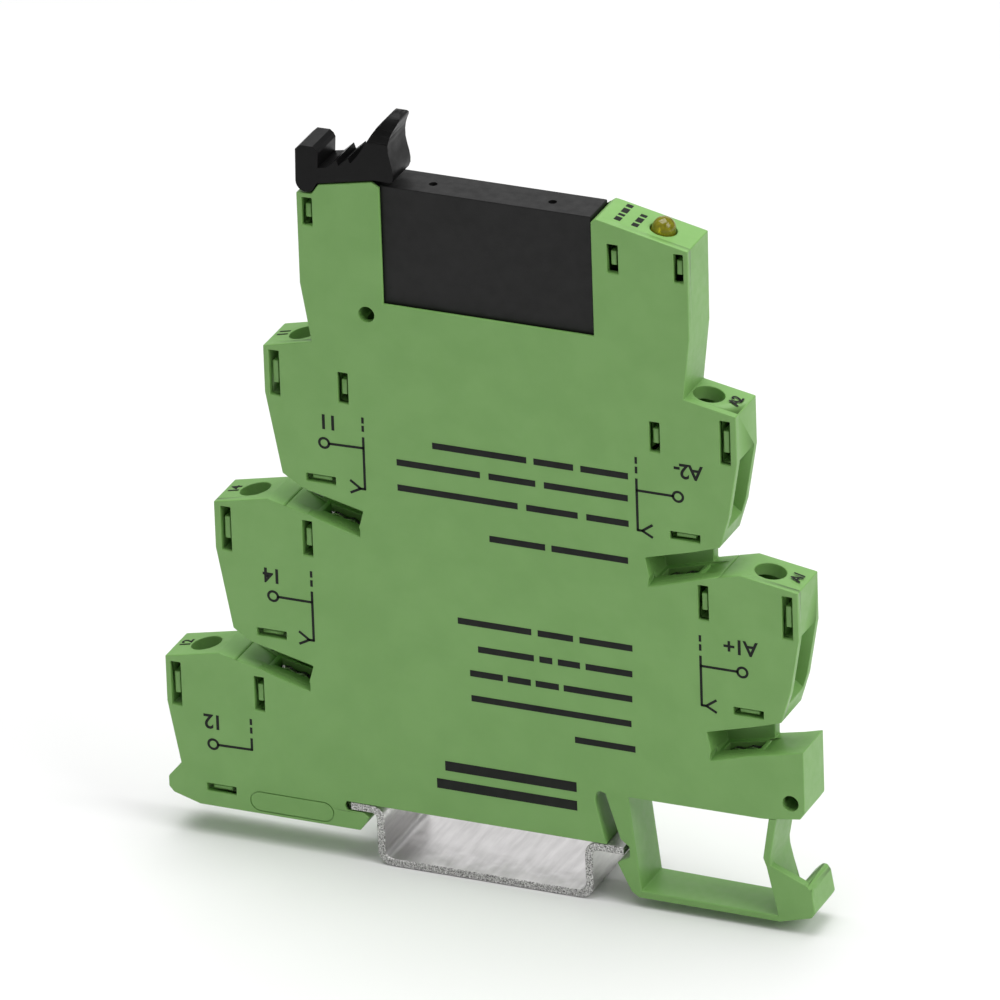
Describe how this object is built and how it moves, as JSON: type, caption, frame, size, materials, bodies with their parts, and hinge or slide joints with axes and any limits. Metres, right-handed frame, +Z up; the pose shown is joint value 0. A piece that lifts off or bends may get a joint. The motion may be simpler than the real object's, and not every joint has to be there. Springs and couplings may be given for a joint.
{
  "type": "plug-in relay",
  "caption": "Slim DIN-rail relay module: two-shell screw-terminal socket with a plugged relay, ejector lever, status lamp and sprung rail foot.",
  "frame": {"origin": "centre of the face that rests on the 35 mm rail, on the rail's centre line", "axes": "+X along the module towards the release foot, +Y through its thickness towards the back shell, +Z up, away from the rail"},
  "size_m": [0.0806, 0.0062, 0.0942],
  "materials": {
    "green_plastic": "satin green polyamide",
    "black_plastic": "satin black polyamide",
    "relay_black": "fine matt black moulding",
    "steel": "zinc plated",
    "tinned_copper": "tin plated, satin",
    "spring_bronze": "bright spring bronze",
    "brass": "bright",
    "soft_iron": "nickel plated, dull",
    "copper_wire": "enamelled copper wire",
    "nylon": "natural nylon",
    "board_laminate": "solder-masked laminate",
    "black_resin": "moulded black resin",
    "resistor_film": "lacquered blue body",
    "amber_lamp": "clear amber resin, unlit"
  },
  "bodies": {
    "housing": {"housing_base": "green_plastic", "housing_cover": "green_plastic", "lever_pivot_pin": "steel", "circuit_board": "board_laminate", "bridge_rectifier": "black_resin", "freewheel_diode": "black_resin", "series_resistor": "resistor_film", "status_led": "amber_lamp", "led_lead_plus": "tinned_copper", "led_lead_minus": "tinned_copper", "busbar_common": "tinned_copper", "socket_contact_common": "spring_bronze", "busbar_normally_open": "tinned_copper", "socket_contact_normally_open": "spring_bronze", "busbar_normally_closed": "tinned_copper", "socket_contact_normally_closed": "spring_bronze", "busbar_coil_minus": "tinned_copper", "socket_contact_coil_minus": "spring_bronze", "busbar_coil_plus": "tinned_copper", "socket_contact_coil_plus": "spring_bronze"},
    "relay": {"relay_case": "relay_black", "relay_base": "relay_black", "coil_bobbin": "nylon", "coil_winding": "copper_wire", "iron_core": "soft_iron", "yoke": "soft_iron", "contact_normally_closed": "brass", "contact_normally_open": "brass", "common_terminal": "tinned_copper", "coil_pin_plus": "tinned_copper", "coil_pin_minus": "tinned_copper"},
    "armature": {"armature": "soft_iron"},
    "actuator_card": {"actuator_card": "nylon"},
    "contact_spring": {"contact_spring": "spring_bronze"},
    "ejector_lever": {"ejector_lever": "black_plastic"},
    "release_foot": {"rail_release_foot": "green_plastic"},
    "screw_common": {"terminal_screw_common": "steel"},
    "sleeve_common": {"clamp_sleeve_common": "steel"},
    "screw_normally_open": {"terminal_screw_normally_open": "steel"},
    "sleeve_normally_open": {"clamp_sleeve_normally_open": "steel"},
    "screw_normally_closed": {"terminal_screw_normally_closed": "steel"},
    "sleeve_normally_closed": {"clamp_sleeve_normally_closed": "steel"},
    "screw_coil_minus": {"terminal_screw_coil_minus": "steel"},
    "sleeve_coil_minus": {"clamp_sleeve_coil_minus": "steel"},
    "screw_coil_plus": {"terminal_screw_coil_plus": "steel"},
    "sleeve_coil_plus": {"clamp_sleeve_coil_plus": "steel"}
  },
  "joints": [
    {"name": "ejector_lever_swing", "type": "hinge", "parent": "housing", "child": "ejector_lever", "pos_m": [-0.0196, 0, 0.07845], "axis": [0, -1, 0], "range_deg": [0, 50]},
    {"name": "relay_lift", "type": "slide", "parent": "housing", "child": "relay", "axis": [0, 0, 1], "range_m": [0, 0.00636]},
    {"name": "release_foot_pull", "type": "slide", "parent": "housing", "child": "release_foot", "axis": [1, 0, 0], "range_m": [0, 0.0016], "stiffness_N_per_m": 3000},
    {"name": "armature_swing", "type": "hinge", "parent": "relay", "child": "armature", "pos_m": [-0.00175, 0, 0.067], "axis": [0, 1, 0], "range_deg": [0, 3.6]},
    {"name": "card_push", "type": "slide", "parent": "relay", "child": "actuator_card", "axis": [1, 0, 0], "range_m": [0, 0.000591], "stiffness_N_per_m": 500},
    {"name": "spring_bend", "type": "hinge", "parent": "relay", "child": "contact_spring", "pos_m": [-0.00675, 0, 0.0665], "axis": [0, 1, 0], "range_deg": [0, 3.42]},
    {"name": "screw_turn_common", "type": "hinge", "parent": "housing", "child": "screw_common", "pos_m": [-0.01924, 0, 0.04599], "axis": [0.2164, 0, -0.9763], "range_deg": [0, 1440]},
    {"name": "sleeve_lift_common", "type": "slide", "parent": "housing", "child": "sleeve_common", "axis": [-0.2164, 0, 0.9763], "range_m": [0, 0.002]},
    {"name": "screw_turn_normally_open", "type": "hinge", "parent": "housing", "child": "screw_normally_open", "pos_m": [-0.02627, 0, 0.02506], "axis": [0.2164, 0, -0.9763], "range_deg": [0, 1440]},
    {"name": "sleeve_lift_normally_open", "type": "slide", "parent": "housing", "child": "sleeve_normally_open", "axis": [-0.2164, 0, 0.9763], "range_m": [0, 0.002]},
    {"name": "screw_turn_normally_closed", "type": "hinge", "parent": "housing", "child": "screw_normally_closed", "pos_m": [-0.0333, 0, 0.00413], "axis": [0.2164, 0, -0.9763], "range_deg": [0, 1440]},
    {"name": "sleeve_lift_normally_closed", "type": "slide", "parent": "housing", "child": "sleeve_normally_closed", "axis": [-0.2164, 0, 0.9763], "range_m": [0, 0.002]},
    {"name": "screw_turn_coil_minus", "type": "hinge", "parent": "housing", "child": "screw_coil_minus", "pos_m": [0.02524, 0, 0.04609], "axis": [-0.2164, 0, -0.9763], "range_deg": [0, 1440]},
    {"name": "sleeve_lift_coil_minus", "type": "slide", "parent": "housing", "child": "sleeve_coil_minus", "axis": [0.2164, 0, 0.9763], "range_m": [0, 0.002]},
    {"name": "screw_turn_coil_plus", "type": "hinge", "parent": "housing", "child": "screw_coil_plus", "pos_m": [0.03224, 0, 0.02509], "axis": [-0.2164, 0, -0.9763], "range_deg": [0, 1440]},
    {"name": "sleeve_lift_coil_plus", "type": "slide", "parent": "housing", "child": "sleeve_coil_plus", "axis": [0.2164, 0, 0.9763], "range_m": [0, 0.002]}
  ],
  "couplings": [
    {"joint": "ejector_lever_swing", "follows": "relay_lift", "rad_per_m": 137},
    {"joint": "armature_swing", "follows": "card_push", "rad_per_m": 105.26},
    {"joint": "spring_bend", "follows": "card_push", "rad_per_m": 100},
    {"joint": "screw_turn_common", "follows": "sleeve_lift_common", "rad_per_m": 12566},
    {"joint": "screw_turn_normally_open", "follows": "sleeve_lift_normally_open", "rad_per_m": 12566},
    {"joint": "screw_turn_normally_closed", "follows": "sleeve_lift_normally_closed", "rad_per_m": 12566},
    {"joint": "screw_turn_coil_minus", "follows": "sleeve_lift_coil_minus", "rad_per_m": 12566},
    {"joint": "screw_turn_coil_plus", "follows": "sleeve_lift_coil_plus", "rad_per_m": 12566}
  ]
}
